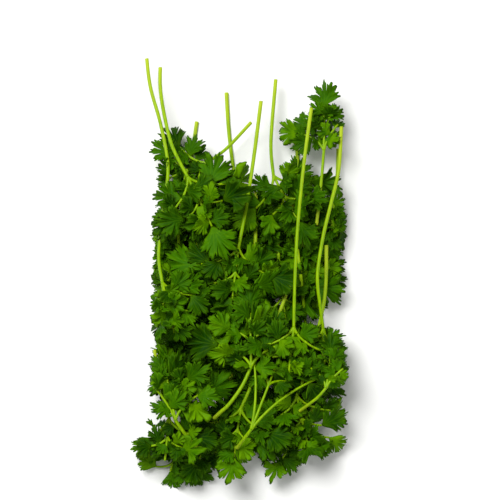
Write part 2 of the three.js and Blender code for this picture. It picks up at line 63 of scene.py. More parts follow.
# Stalks
# Each sprig is one compound leaf, cut off with its stalk. The stalk is a ridged, slightly curved,
# juicy rod with a clean cut at its end, and forks into three stems and two twigs, thinner at each
# fork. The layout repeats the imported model's own rule in millimetres, so the stems lie as there.
MIDDLE = np.array([0.04, 1.89, 0.0])  # what the layout is shifted by
FAN = [(0, 22), (56, 16), (-56, 16)]  # the fork's middle, left and right stem: turn and length
SPRIGS = [
    # heading in degrees, size, the stalk's route from its cut end to its fork, and its own fan
    (-72, 0.92, [(-38, 84, 10), (-36.4, 72, 10), (-32, 56, 12), (-29, 38, 14), (-31.2, 18, 16),
                 (-32.4, 3, 17), (-30.8, -8, 18)], FAN),
    (-62, 1.0, [(-32.4, 79.6, 13), (-32.2, 70, 14), (-30, 57, 17), (-27, 46, 18),
                (-21, 34, 18)], FAN),
    (-88, 0.92, [(40, 55, 15), (38.8, 37.6, 16), (35.6, 23.6, 18), (32.4, 10.4, 19),
                 (30, -5.6, 20), (31.2, -18, 18), (32.4, -26, 15)], FAN),
    (-96, 0.85, [(28, 62, 18), (25, 40, 20), (22.4, 15, 21.5), (21.2, -5.6, 22),
                 (20.6, -26, 21)], FAN),
    (72, 0.86, [(-1.5, -72.4, 14), (1, -69.4, 19.5), (4, -65.6, 22.5)],
     [(0, 31), (19, 32), (-21, 40)]),
    (97, 0.95, [(-10.4, -60.8, 15), (-8, -58.8, 18.5), (-4.4, -55.6, 21), (0.6, -48.6, 22),
                (4, -41, 21)], FAN),
    (96, 0.98, [(-16, -73, 12), (-20.4, -68.8, 17), (-25.4, -62, 21)], FAN),
    (76, 0.62, [(23, -58, 14), (26.6, -55.6, 19.5), (30, -53, 22), (33, -49.6, 23)], FAN),
    (-105, 0.72, [(-9, -45, 0.95), (-13, -54, 0.6), (-18, -63, 0.6), (-26, -75, 2.5)],
     [(0, 9), (62, 15), (-62, 10)]),
    (-97, 1.0, [(8, 66, 12), (5, 42, 14), (2, 22, 15), (-1, 6, 16)], FAN),
    (88, 0.74, [(30, 16, 11), (32, 34, 12), (33, 46, 13)], FAN),
    (196, 0.8, [(4, 58, 9), (-6, 47, 10), (-14, 41, 11)], FAN),
    (-60, 0.95, [(14, 76, 7), (12, 50, 9), (13, 36, 10)], FAN),
    (-98, 0.86, [(20, -6, 12), (12, -28, 12), (4, -48, 12), (0, -57, 12)], FAN),
    (-74, 0.9, [(34, 8, 10), (33, -14, 11), (27, -38, 12), (22, -52, 12)], FAN),
    (-98, 0.95, [(-18, 60, 0.7), (-20, 46, 0.7), (-23, 30, 0.8), (-27, 12, 2.8)], FAN),
    (-88, 1.0, [(-6, 72, 0.7), (-5, 56, 0.7), (-3, 40, 0.8), (0, 24, 2.8)], FAN),
    (-86, 0.95, [(22, 58, 0.7), (23, 42, 0.7), (24, 26, 0.8), (25, 10, 2.8)], FAN),
    (-93, 1.0, [(-14, 34, 7.5), (-18, 4, 7.5), (-24, -26, 4)], FAN),
    (-92, 1.0, [(6, 30, 8), (5, -4, 7.5), (0, -26, 4.5)], FAN),
    (-88, 0.95, [(20, 26, 8), (24, -6, 7.5), (26, -26, 4)], FAN),
    (-80, 0.85, [(11, -8, 0.65), (8, -22, 0.65), (6, -37, 0.75), (8, -52, 2.8)], FAN),
    (-100, 0.75, [(-34, -34, 13), (-31, -50, 14), (-28, -61, 15)], FAN),
    (-105, 0.75, [(-3, -42, 6), (-8.5, -53, 6), (-12, -62, 7)], FAN),
    (-88, 0.8, [(-29, 52, 5), (-31, 37, 6), (-30, 24, 7)], FAN),
    (-75, 0.8, [(-22, 32, 12), (-25, 16, 11), (-24, 3, 11)], FAN),
    (-95, 0.72, [(39, 48, 5), (38.5, 36, 5), (37, 26, 5)], FAN),
    (-110, 0.75, [(32, -44, 6), (29, -55, 7), (24, -63, 7)], FAN),
    (-100, 0.85, [(-6, 14, 5), (-10, 2, 5), (-13, -10, 5)], FAN),
    (-80, 0.85, [(14, 16, 6), (15, 4, 6), (15, -4, 6)], FAN),
]
OPEN_SPRIG = 4  # from 0: its fork lies on top, open to view
PLACES = (0.76, 0.44, 0.6)  # along its stem: the middle stem's pair, its twigs, a side stem's pair
OPEN_PLACES = (0.9, 0.7, 0.86)
TWIG_TURN = 58
TWIG_LENGTH = 9.5
STEM_GAP = 1.9
OPEN_GAP = 4.2
SIDE_ROOM = 41.5  # from the middle to each side of the space that the bunch fills
NARROW_ROOM = 35.5  # the same on the left, from the cut ends down to y = NARROW_TO
NARROW_TO = -68
END_ROOM = 87
TOP_ROOM = 26
CORNER = np.array([0.485, -0.875])  # the line that cuts off a corner: its normal and its distance
CORNER_ROOM = 82
WALL_GAP = 5  # from a stem's end to the limits of that space
ROUTE_SAMPLES = 25
RAY_SAMPLES = [0.3, 0.5, 0.7, 0.85, 1]
RAY_TRIES = [
    # turn in degrees, and rise over the stem's length
    (0, 0), (0, 0.14), (0, -0.14), (10, 0), (-10, 0), (0, 0.28), (0, -0.28), (12, 0.16),
    (-12, 0.16), (12, -0.16), (-12, -0.16), (22, 0), (-22, 0), (0, 0.4), (0, -0.4), (34, 0),
    (-34, 0),
]
TURN_SPREAD = 8  # the whole range of a stem's random turn in degrees, and of its rise
RISE_SPREAD = 0.16
TILT_SPREAD = 0.3  # the same for the tilt of a head
NECK_AT = 0.93  # from here to its fork, the stalk's direction sways its head's by this share
SWAY = 0.25
BEND = 0.25  # a stem's bend, along its parent's direction and its own, over its length
LOWEST_END = 1.2
STEM_REACH = 1.4  # how far round its start a stem looks for others, over its length
SEED = 7919
SEED_STEP = 104729


def draws_from(seed):
    """Seeded draws from 0 to 1: each state is 48271 times the last, modulo 2 ** 31 - 1."""
    state = seed
    while True:
        state = state * 48271 % 2147483647
        yield state / 2147483647


def unit(v):
    return v / np.linalg.norm(v)


def square_to(direction, wanted):
    """The direction across from the given one, as near to wanted as can be."""
    return unit(wanted - direction * (wanted @ direction))


def turned(v, axis, degrees):
    """v turned about a unit axis: its part along the axis stays, and the rest goes round it."""
    angle = math.radians(degrees)
    along = axis * (axis @ v)
    return along + (v - along) * math.cos(angle) + np.cross(axis, v) * math.sin(angle)


def on_route(route, t):
    """Points at the fractions t of the smooth line through a route's points (Catmull-Rom)."""
    points = np.array(route, float)
    spans = len(points) - 1
    t = np.atleast_1d(t) * spans
    i = np.minimum(t.astype(int), spans - 1)
    u = (t - i)[:, None]
    a, b, c, d = (points[np.clip(i + k, 0, spans)] for k in (-1, 0, 1, 2))
    return 0.5 * (2 * b + (c - a) * u + (2 * a - 5 * b + 4 * c - d) * u ** 2
                  + (3 * b - a - 3 * c + d) * u ** 3)


def on_ray(ray, t):
    """Points of a forked stem, which leaves its start along its parent and bends to its end."""
    t = np.atleast_1d(t)[:, None]
    return (1 - t) ** 2 * ray["start"] + 2 * t * (1 - t) * ray["bend"] + t ** 2 * ray["end"]


def ray_direction(ray, t):
    return unit((ray["bend"] - ray["start"]) * (1 - t) + (ray["end"] - ray["bend"]) * t)


def room_at(points):
    """How far points are inside the sides, ends, corner and top of the space of the bunch."""
    x, y, z = points.T
    left = np.where(y > NARROW_TO, NARROW_ROOM, SIDE_ROOM) + x
    corner = CORNER_ROOM - points[:, :2] @ CORNER
    return np.minimum.reduce([left, SIDE_ROOM - x, END_ROOM - abs(y), corner, TOP_ROOM - z])


class Taken:
    """The sample points in use so far, with the sprig that each is on and the gap it asks for."""

    def __init__(self):
        self.points, self.owner, self.gap = np.empty((0, 3)), np.empty(0, int), np.empty(0)

    def take(self, points, owner, gap):
        self.points = np.vstack([self.points, points])
        self.owner = np.append(self.owner, np.full(len(points), owner))
        self.gap = np.append(self.gap, np.full(len(points), gap))

    def near(self, centre, reach, counts):
        """The points within reach for which counts(owners, distances) holds, gaps and owners."""
        distance = np.linalg.norm(self.points - centre, axis=1)
        wanted = (distance < reach) & counts(self.owner, distance)
        return self.points[wanted], self.gap[wanted], self.owner[wanted]


def slack(points, near, gap):
    """The smallest distance from points to what is near, less the gap asked for there."""
    if len(near) == 0:
        return math.inf
    return (np.linalg.norm(points[:, None] - near[None], axis=2) - gap).min()


def grow_ray(taken, owner, start, forward, up, turn, length, draw):
    """A forked stem, turned and raised until it is clear of the other sprigs' stems."""
    jitter = TURN_SPREAD * (next(draw) - 0.5)
    rise = RISE_SPREAD * (next(draw) - 0.5)
    near, _, _ = taken.near(start, length * STEM_REACH + STEM_GAP, lambda o, d: o != owner)
    best = None
    for extra, lift in RAY_TRIES:
        heading = turned(forward, up, turn + jitter + extra)
        end = start + heading * length + up * length * (rise + lift)
        end[2] = max(end[2], LOWEST_END)
        bend = start + (forward + heading) * length * BEND
        ray = dict(start=start, bend=bend, end=end, up=up, length=length)
        points = on_ray(ray, RAY_SAMPLES)
        room = min(slack(points, near, STEM_GAP), room_at(end[None])[0] - WALL_GAP)
        if best is None or room > best[0]:
            best = (room, ray, points)
        if room >= 0:
            break
    taken.take(best[2], owner, OPEN_GAP if owner == OPEN_SPRIG else STEM_GAP)
    return best[1]


def grow_stems(taken, owner, sprig, draw):
    """A head's stems: the fork's middle, left and right one, and two twigs on the middle one."""
    heading, size, route, fan = sprig
    fork = on_route(route, 1)[0]
    angle = math.radians(heading)
    flow = unit(fork - on_route(route, NECK_AT)[0])
    flow[2] = 0
    forward = unit(np.array([math.cos(angle), math.sin(angle), 0]) + flow * SWAY)
    tilt = [TILT_SPREAD * (next(draw) - 0.5), TILT_SPREAD * (next(draw) - 0.5)]
    up = square_to(forward, np.array([*tilt, 1]))
    stems = [grow_ray(taken, owner, fork, forward, up, turn, length * size, draw)
             for turn, length in fan]
    twigs_at = (OPEN_PLACES if owner == OPEN_SPRIG else PLACES)[1]
    start = on_ray(stems[0], twigs_at)[0]
    forward = ray_direction(stems[0], twigs_at)
    stems += [grow_ray(taken, owner, start, forward, up, turn, TWIG_LENGTH * size, draw)
              for turn in (TWIG_TURN, -TWIG_TURN)]
    return stems


taken = Taken()
draws = [draws_from(SEED + SEED_STEP * (i + 1)) for i in range(len(SPRIGS))]
for i, sprig in enumerate(SPRIGS):
    taken.take(on_route(sprig[2], np.linspace(0, 1, ROUTE_SAMPLES)), i, STEM_GAP)
stems = [grow_stems(taken, i, sprig, draws[i]) for i, sprig in enumerate(SPRIGS)]

MM = 0.001


def linear(hex_value):
    """An sRGB hex value as a linear colour with alpha."""
    s = [int(hex_value[i:i + 2], 16) / 255 for i in (1, 3, 5)]
    return [c / 12.92 if c <= 0.04045 else ((c + 0.055) / 1.055) ** 2.4 for c in s] + [1]


def add_node(material, kind, inputs, **settings):
    """A node with its settings made and its inputs set, or linked where a socket is given."""
    node = material.node_tree.nodes.new(kind)
    for name, value in settings.items():
        setattr(node, name, value)
    for key, value in inputs.items():
        if isinstance(value, bpy.types.NodeSocket):
            material.node_tree.links.new(value, node.inputs[key])
        else:
            node.inputs[key].default_value = value
    return node


def add_mix(material, factor, a, b):
    """The colour between a and b at a factor."""
    inputs = {"Factor": factor, 6: a, 7: b}
    return add_node(material, "ShaderNodeMix", inputs, data_type="RGBA").outputs[2]


def new_material(name, roughness, specular):
    material = bpy.data.materials.new(name)
    material.use_nodes = True
    shader = material.node_tree.nodes["Principled BSDF"]
    shader.inputs["Roughness"].default_value = roughness
    shader.inputs["Specular IOR Level"].default_value = specular
    return material, shader


# Fresh parsley stalk: a little glossier than the leaf, of bright yellow-green that pales towards
# its cut end, with fine streaks along it.
STREAK = 1 / (0.5 * MM)  # about half a millimetre wide
STREAK_STRETCH = 0.08  # the streaks' scale along the bunch, over that across it

stalk_finish, shader = new_material("fresh_parsley_stalk", roughness=0.4, specular=0.1)
place = add_node(stalk_finish, "ShaderNodeTexCoord", {})
around = add_node(stalk_finish, "ShaderNodeMapping",
                  {"Vector": place.outputs["Object"], "Scale": (1.0, STREAK_STRETCH, 1.0)})
streaks = add_node(stalk_finish, "ShaderNodeTexNoise",
                   {"Vector": around.outputs[0], "Scale": STREAK, "Detail": 2.0})
paleness = add_node(stalk_finish, "ShaderNodeAttribute", {}, attribute_name="paleness")
streak = add_node(stalk_finish, "ShaderNodeMapRange",
                  {"Value": streaks.outputs[0], "From Min": 0.35, "From Max": 0.65})
yellow_green = add_mix(stalk_finish, streak.outputs[0], linear("#6e9a00"), linear("#8eb402"))
green = add_mix(stalk_finish, paleness.outputs["Fac"], yellow_green, linear("#c0cc30"))
stalk_finish.node_tree.links.new(green, shader.inputs["Base Color"])
bump = add_node(stalk_finish, "ShaderNodeBump",
                {"Height": streaks.outputs[0], "Strength": 0.3, "Distance": 0.1 * MM})
stalk_finish.node_tree.links.new(bump.outputs[0], shader.inputs["Normal"])


def make_piece(name, points, faces, finish, node, values):
    """A mesh piece that stands for a packed sprig. values are its point attributes by name."""
    mesh = bpy.data.meshes.new(name)
    mesh.from_pydata((points + MIDDLE) * MM, [], faces)
    for key, value in values.items():
        layer = mesh.attributes.new(key, "FLOAT", "POINT")
        layer.data.foreach_set("value", value.astype(np.float32))
    mesh.shade_smooth()
    mesh.materials.append(finish)
    piece = bpy.data.objects.new(name, mesh)
    bpy.context.collection.objects.link(piece)
    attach(piece, "root")
    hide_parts(node)
    return piece


STALK_RADIUS = 0.78
NECK_RADIUS = 0.65
STEM_RADIUS = 0.54
TWIG_RADIUS = 0.49
TIP_RADIUS = 0.4
FLARE = 0.3  # how much a stem swells where it leaves its parent
FLARE_LENGTH = 1.3  # over what length that dies out
SIDES = 14
RIDGES = 5
RIDGE_HEIGHT = 0.06  # over the radius
STALK_STEPS = 12  # rings from one point of a route to the next
STEM_STEPS = 15
STEM_CROWD = 1.4  # the power by which a stem's rings crowd towards its start
END_PALENESS = 0.6  # at the cut end, from where it falls off as the cube of the way left


def rod(line, radius, start):
    """A closed ridged rod along a line of points, and its faces with their points from start on.

    Each ring stands square to the line. Its radius rises and falls RIDGES times round it.
    """
    ahead = np.gradient(line, axis=0)
    ahead /= np.linalg.norm(ahead, axis=1)[:, None]
    aside = np.cross(ahead, np.tile([0.0, 0.0, 1.0], (len(line), 1)))
    aside /= np.linalg.norm(aside, axis=1)[:, None]
    over = np.cross(aside, ahead)
    round_ = np.linspace(0, 2 * np.pi, SIDES, endpoint=False)
    reach = (radius[:, None] * (1 + RIDGE_HEIGHT * np.cos(RIDGES * round_)))[..., None]
    rings = line[:, None] + reach * (np.cos(round_)[:, None] * aside[:, None]
                                     + np.sin(round_)[:, None] * over[:, None])
    points = rings.reshape(-1, 3)
    points[:, 2] = np.maximum(points[:, 2], 0)
    a = np.arange(SIDES)
    b = (a + 1) % SIDES
    faces = []
    for k in range(len(line) - 1):
        low, high = start + k * SIDES, start + (k + 1) * SIDES
        faces += np.stack([low + a, high + a, high + b, low + b], axis=1).tolist()
    faces += [(start + a).tolist(), (start + (len(line) - 1) * SIDES + a[::-1]).tolist()]
    return points, faces


for i, (_, size, route, _) in enumerate(SPRIGS):
    steps = np.linspace(0, 1, STALK_STEPS * (len(route) - 1) + 1)
    radius = math.sqrt(size) * (STALK_RADIUS + (NECK_RADIUS - STALK_RADIUS) * steps)
    lines = [(on_route(route, steps), radius, END_PALENESS * (1 - steps) ** 3)]
    steps = np.linspace(0, 1, STEM_STEPS) ** STEM_CROWD
    for k, ray in enumerate(stems[i]):
        radius = STEM_RADIUS if k < 3 else TWIG_RADIUS
        flare = 1 + FLARE * np.exp(-steps * ray["length"] / FLARE_LENGTH)
        radius = (radius + (TIP_RADIUS - radius) * steps) * flare
        lines.append((on_ray(ray, steps), radius, np.zeros(STEM_STEPS)))
    points, faces, paleness = np.empty((0, 3)), [], []
    for line, radius, pale in lines:
        more, more_faces = rod(line, radius, len(points))
        points = np.vstack([points, more])
        faces += more_faces
        paleness.append(np.repeat(pale, SIDES))
    make_piece(f"stalks_{i + 1:02d}", points, faces, stalk_finish, f"sprig_{i + 1:02d}",
               {"paleness": np.concatenate(paleness)})


# Leaflets
# A leaflet is a fan of deep lobes with blunt teeth, thin, cupped and crisped towards its edge. All
# leaflets of a sprig are one piece, and each is a closed skin: an upper and an under face with one
# rim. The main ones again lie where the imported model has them.
LEAFLET_LENGTH = 14.5
PAIR_TURN = 66
PAIR_SIZE = 0.86
TWIG_END_SIZE = 0.95
TWIG_LEAFLET_AT = 0.55
TWIG_LEAFLET_SIZE = 0.8
BLADE_MIDDLE = 0.34  # from a leaflet's root, over its length
OUTLINE = np.array([
    # angle about the blade's middle in degrees, and reach over the leaflet's length
    (-84, 0.5), (-73, 0.42), (-63, 0.6), (-54, 0.47), (-45, 0.58), (-32, 0.27), (-20, 0.61),
    (-10, 0.5), (0, 0.66), (10, 0.5), (20, 0.61), (32, 0.27), (45, 0.58), (54, 0.47), (63, 0.6),
    (73, 0.42), (84, 0.5),
])
BLADE_GAP = 2.2
OWN_REACH = 3.2  # a leaflet heeds what its own sprig has farther from its root than this
CROWDING = 1.4  # how far short of its gap a leaflet may fall before it is left out
PRESS = 2.5  # how far one may reach below the surface, where it is pressed flat
LEAF_REACH = 1.15  # how far round its root a leaflet looks for others, over its length
BARE_SPOTS = np.array([(-31, -81, 5), (40, -21.5, 4), (33.6, -64.6, 3.6), (6, -83.5, 3)])
LEAFLET_TRIES = [
    # turn, lift and roll in degrees, and size
    (0, 0, 0, 1), (0, 22, 0, 1), (0, -22, 0, 1), (0, 0, 32, 1), (0, 0, -32, 1), (24, 0, 0, 1),
    (-24, 0, 0, 1), (0, 40, 0, 1), (0, -40, 0, 1), (20, 22, 20, 0.9), (-20, 22, -20, 0.9),
    (20, -22, -20, 0.9), (-20, -22, 20, 0.9), (0, 55, 0, 0.8), (0, -55, 0, 0.8),
    (0, 30, 50, 0.8), (0, -30, -50, 0.8), (30, 30, 0, 0.75), (-30, 30, 0, 0.75),
    (30, -30, 0, 0.75), (-30, -30, 0, 0.75),
]
LEAF_TURN_SPREAD = 16  # the whole range of a leaflet's random turn, lift and roll in degrees
LEAF_LIFT_SPREAD = 26
LEAF_ROLL_SPREAD = 44
LIFT_LEVEL = 0.4  # the draw that leaves the lift alone, and the one that leaves the blade flat
CUP_LEVEL = 0.35
CUP_SPREAD = 0.5
LEAST_SIZE, SIZE_SPREAD = 0.88, 0.24
LEAST_CRISP, CRISP_SPREAD = 0.2, 0.34
LEAST_ARCH, ARCH_SPREAD = 0.1, 0.22


def on_leaflet(leaf, rho, phi):
    """Points of a leaflet's middle surface, at distance rho and angle phi from its middle.

    A shallow cup carries waves of 3 and 7 round it, the second 0.6 as high. They grow as rho
    squared and die out at the root. The whole arches down as the square of the way from the root.
    """
    x = BLADE_MIDDLE + rho * np.cos(phi)
    y = rho * np.sin(phi)
    waves = np.sin(3 * phi + leaf["phase"]) + 0.6 * np.sin(7 * phi + leaf["phase2"])
    z = rho ** 2 * (leaf["cup"] + leaf["crisp"] * waves) * np.clip(x / BLADE_MIDDLE, 0, 1)
    z = z - leaf["arch"] * x ** 2
    x, y, z = x[..., None], y[..., None], z[..., None]
    plane = x * leaf["along"] + y * leaf["across"] + z * leaf["normal"]
    return leaf["root"] + leaf["length"] * plane


def off_bare_spots(points):
    """How far points are outside the spots where the surface underneath shows."""
    away = np.linalg.norm(points[:, None, :2] - BARE_SPOTS[:, :2], axis=2)
    return (away - BARE_SPOTS[:, 2]).min()


TIPS_PHI = np.radians(OUTLINE[:, 0])
SAMPLE_RHO = np.concatenate([[0], OUTLINE[:, 1], OUTLINE[::2, 1] / 2])
SAMPLE_PHI = np.concatenate([[0], TIPS_PHI, TIPS_PHI[::2]])


def grow_leaflet(taken, owner, ray, f, side, length, draw, crowding=CROWDING, blade_gap=BLADE_GAP):
    """A leaflet at fraction f of a stem, turned, lifted and rolled until it is clear, or None."""
    d = [next(draw) for _ in range(7)]
    root = on_ray(ray, f)[0]
    forward = ray_direction(ray, f)
    up = square_to(forward, ray["up"])
    near, gap, whose = taken.near(root, length * LEAF_REACH + OPEN_GAP,
                                  lambda o, far: (o != owner) | (far > OWN_REACH))
    gap = np.where((gap > BLADE_GAP) & (whose != owner), gap, np.minimum(gap, blade_gap))
    best = None
    for turn, lift, roll, size in LEAFLET_TRIES:
        lift += LEAF_LIFT_SPREAD * (d[1] - LIFT_LEVEL)
        along = turned(forward, up, side + turn + LEAF_TURN_SPREAD * (d[0] - 0.5))
        along = turned(along, unit(np.cross(up, along)), -lift)
        normal = turned(square_to(along, up), along, roll + LEAF_ROLL_SPREAD * (d[2] - 0.5))
        leaf = dict(
            root=root, along=along, normal=normal, across=unit(np.cross(normal, along)),
            length=length * size * (LEAST_SIZE + SIZE_SPREAD * d[3]),
            cup=CUP_SPREAD * (d[4] - CUP_LEVEL), crisp=LEAST_CRISP + CRISP_SPREAD * d[4],
            arch=LEAST_ARCH + ARCH_SPREAD * d[5],
            phase=2 * math.pi * d[5], phase2=2 * math.pi * d[6], tone=d[6],
        )
        points = on_leaflet(leaf, SAMPLE_RHO, SAMPLE_PHI)
        walls = min(room_at(points).min(), off_bare_spots(points), points[:, 2].min() + PRESS)
        points[:, 2] = np.maximum(points[:, 2], 0)
        room = min(slack(points, near, gap), walls)
        if best is None or room > best[0]:
            best = (room, leaf, points)
        if room >= 0:
            break
    if best[0] < -crowding:
        return None
    taken.take(best[2], owner, BLADE_GAP)
    return best[1]


def grow_leaflets(taken, owner, sprig, stems, draw):
    """A sprig's main leaflets: one on each stem's end, and a pair or, on a twig, one beside it."""
    middle_pair, _, side_pair = OPEN_PLACES if owner == OPEN_SPRIG else PLACES
    leaves = []
    for k, ray in enumerate(stems):
        if k < 3:
            at = middle_pair if k == 0 else side_pair
            places = [(1, 0, 1), (at, PAIR_TURN, PAIR_SIZE), (at, -PAIR_TURN, PAIR_SIZE)]
        else:
            outward = PAIR_TURN if k == 3 else -PAIR_TURN
            places = [(1, 0, TWIG_END_SIZE), (TWIG_LEAFLET_AT, outward, TWIG_LEAFLET_SIZE)]
        for f, side, size in places:
            length = LEAFLET_LENGTH * sprig[1] * size
            leaves.append(grow_leaflet(taken, owner, ray, f, side, length, draw))
    return [leaf for leaf in leaves if leaf]


def fork_height(i):
    return SPRIGS[i][2][-1][2]


order = sorted(range(len(SPRIGS)), key=lambda i: -fork_height(i))  # the highest forks first
leafage = {i: grow_leaflets(taken, i, SPRIGS[i], stems[i], draws[i]) for i in order}

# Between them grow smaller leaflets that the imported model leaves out. They fill the heads as
# densely as in real curly parsley, and may lie closer, because a finished blade is thin.
FILL_PLACES = [
    # for each of the five stems: fraction along it, turn off it in degrees, and size
    [(0.9, 52, 0.66), (0.9, -52, 0.66), (0.6, 70, 0.7), (0.6, -70, 0.7), (0.22, 75, 0.62),
     (0.22, -75, 0.62)],
    [(0.84, 50, 0.68), (0.84, -50, 0.68), (0.34, 72, 0.66), (0.34, -72, 0.66)],
    [(0.84, 50, 0.68), (0.84, -50, 0.68), (0.34, 72, 0.66), (0.34, -72, 0.66)],
    [(0.8, -55, 0.6), (0.4, -75, 0.56)],
    [(0.8, 55, 0.6), (0.4, 75, 0.56)],
]
FILL_CROWDING = 0.5
FILL_GAP = 1.1


def fill_stems(i, stem_places, crowding):
    """Adds a sprig's smaller leaflets at the places of its stems where there is room for them."""
    for ray, places in zip(stems[i], stem_places):
        for f, side, size in places:
            if i == OPEN_SPRIG and f < OPEN_PLACES[2]:
                continue
            length = LEAFLET_LENGTH * SPRIGS[i][1] * size
            leaf = grow_leaflet(taken, i, ray, f, side, length, draws[i], crowding, FILL_GAP)
            if leaf:
                leafage[i].append(leaf)


for i in order:
    fill_stems(i, FILL_PLACES, FILL_CROWDING)

# The lowest sprigs lie pressed together, and their leaflets touch, so that hardly any surface
# shows. These have three more pairs on each stem of the fork, and a fourth on the middle one.
LOW_FORK = 6.0
LOW_CROWDING = 0.95
LOW_SIZE = 0.74
LOW_PAIRS = [(f, turn, LOW_SIZE) for f in (0.8, 0.5, 0.15) for turn in (30, -30)]
LOW_LAST_PAIR = [(0.1, 115, LOW_SIZE), (0.1, -115, LOW_SIZE)]

for i in order:
    if fork_height(i) < LOW_FORK:
        fill_stems(i, [LOW_PAIRS + LOW_LAST_PAIR, LOW_PAIRS, LOW_PAIRS], LOW_CROWDING)

# Fresh parsley leaf: a satin upper face of deep yellow-green, paler along its radiating veins and
# at the tips of its teeth, and a duller, greyer underside.
VEIN_TURN = math.radians(19)  # between neighbouring veins
VEIN_ROOT = 0.08  # where they part, from the root over the leaflet's length
VEIN_WIDTH = 0.25 / LEAFLET_LENGTH
VEIN_PALENESS = 0.1
VEIN_DEPTH = 0.15  # over the height of the puckers
TIP_PALENESS = 0.2
UNDER_PALENESS = 0.45
MOTTLE = 1 / (4 * MM)  # patches of a slightly different green, about 4 mm across
GRAIN = 1 / (0.35 * MM)  # the puckers between the finest veins

leaf_finish, shader = new_material("fresh_parsley_leaf", roughness=0.5, specular=0.03)
plane = add_node(leaf_finish, "ShaderNodeUVMap", {}, uv_map="leaf_plane")
split = add_node(leaf_finish, "ShaderNodeSeparateXYZ", {0: plane.outputs[0]})
ahead = add_node(leaf_finish, "ShaderNodeMath", {0: split.outputs[0], 1: VEIN_ROOT},
                 operation="SUBTRACT")
angle = add_node(leaf_finish, "ShaderNodeMath", {0: split.outputs[1], 1: ahead.outputs[0]},
                 operation="ARCTAN2")
off_vein = add_node(leaf_finish, "ShaderNodeMath", {0: angle.outputs[0], 1: VEIN_TURN / 2},
                    operation="PINGPONG")
out = add_node(leaf_finish, "ShaderNodeVectorMath", {0: plane.outputs[0], 1: (VEIN_ROOT, 0, 0)},
               operation="DISTANCE")
beside = add_node(leaf_finish, "ShaderNodeMath", {0: off_vein.outputs[0], 1: out.outputs["Value"]},
                  operation="MULTIPLY")
vein = add_node(leaf_finish, "ShaderNodeMapRange",
                {"Value": beside.outputs[0], "From Min": VEIN_WIDTH * 0.3,
                 "From Max": VEIN_WIDTH * 1.6, "To Min": 1.0, "To Max": 0.0},
                interpolation_type="SMOOTHSTEP")
tone = add_node(leaf_finish, "ShaderNodeAttribute", {}, attribute_name="tone")
edge = add_node(leaf_finish, "ShaderNodeAttribute", {}, attribute_name="edge")
under = add_node(leaf_finish, "ShaderNodeAttribute", {}, attribute_name="under")
place = add_node(leaf_finish, "ShaderNodeTexCoord", {})
mottle = add_node(leaf_finish, "ShaderNodeTexNoise",
                  {"Vector": place.outputs["Object"], "Scale": MOTTLE, "Detail": 3.0,
                   "Roughness": 0.6})
shade = add_node(leaf_finish, "ShaderNodeMath",
                 {0: mottle.outputs[0], 1: 0.5, 2: tone.outputs["Fac"]}, operation="MULTIPLY_ADD")
greens = add_node(leaf_finish, "ShaderNodeValToRGB", {"Fac": shade.outputs[0]})
greens.color_ramp.elements[0].position = 0.2
greens.color_ramp.elements[0].color = linear("#143a00")
greens.color_ramp.elements[1].position = 1.0
greens.color_ramp.elements[1].color = linear("#6a9800")
middle_green = greens.color_ramp.elements.new(0.65)
middle_green.color = linear("#346500")
green = greens.outputs[0]
for amount, strength, paler in ((vein.outputs[0], VEIN_PALENESS, "#72a000"),
                                (edge.outputs["Fac"], TIP_PALENESS, "#74a800"),
                                (under.outputs["Fac"], UNDER_PALENESS, "#47760c")):
    factor = add_node(leaf_finish, "ShaderNodeMath", {0: amount, 1: strength}, operation="MULTIPLY")
    green = add_mix(leaf_finish, factor.outputs[0], green, linear(paler))
leaf_finish.node_tree.links.new(green, shader.inputs["Base Color"])
puckers = add_node(leaf_finish, "ShaderNodeTexNoise",
                   {"Vector": place.outputs["Object"], "Scale": GRAIN, "Detail": 2.0})
relief = add_node(leaf_finish, "ShaderNodeMath",
                  {0: vein.outputs[0], 1: -VEIN_DEPTH, 2: puckers.outputs[0]},
                  operation="MULTIPLY_ADD")
bump = add_node(leaf_finish, "ShaderNodeBump",
                {"Height": relief.outputs[0], "Strength": 0.35, "Distance": 0.25 * MM})
leaf_finish.node_tree.links.new(bump.outputs[0], shader.inputs["Normal"])

HALF_TEETH = np.array([
    # the finer outline of a real leaflet from its middle to one side: tips and the cuts between
    # them, with four blunt teeth to a lobe and deep, narrow bays between the lobes
    (4.5, 0.69), (9, 0.57), (13.4, 0.61), (17.6, 0.2), (21.8, 0.56), (26.6, 0.53), (31, 0.64),
    (35.5, 0.58), (40, 0.64), (44.6, 0.52), (49, 0.55), (53.3, 0.24), (57.6, 0.52), (62.3, 0.49),
    (67, 0.58), (72, 0.52), (77, 0.56), (82.5, 0.46), (88, 0.47),
])
TEETH = np.vstack([HALF_TEETH[::-1] * (-1, 1), [(0, 0.63)], HALF_TEETH])
REACH_JITTER = 0.06  # a sine along the teeth varies their reach by this share
REACH_STEP = 2.4  # and turns by this much from one to the next, in radians
ANGLE_JITTER = 1.2  # another varies their angle, by this many degrees
ANGLE_STEP = 1.7
SPAN_STEPS = 2  # outline points from a tooth's tip to the cut beside it
BLUNTNESS = 2.6  # the power by which a tooth's reach falls off from its tip
BASE_STEPS = 4  # along each side of the base
BASE_BOW = 0.05  # how far those sides bow out, over the leaflet's length
STEM_WIDTH = 0.035  # half the width of the root over the leaflet's length
RINGS = np.array([0.45, 0.78])  # inner rings, as fractions of the way out to the rim
LEAF_THICKNESS = 0.32
FRILL = 0.065  # the edge's waves, over the leaflet's length
FRILL_WAVES = 11  # to a full turn
LOBE_CUP = 0.17  # how far a lobe's middle stands off its sides
LOBE_TURN = math.radians(35.5)  # from one lobe's middle to the next
FLOOR_CLEARANCE = 0.25
TONE_SPREAD = 0.75
TONE_LEVEL = 0.2  # the draw that leaves a leaflet's tone alone


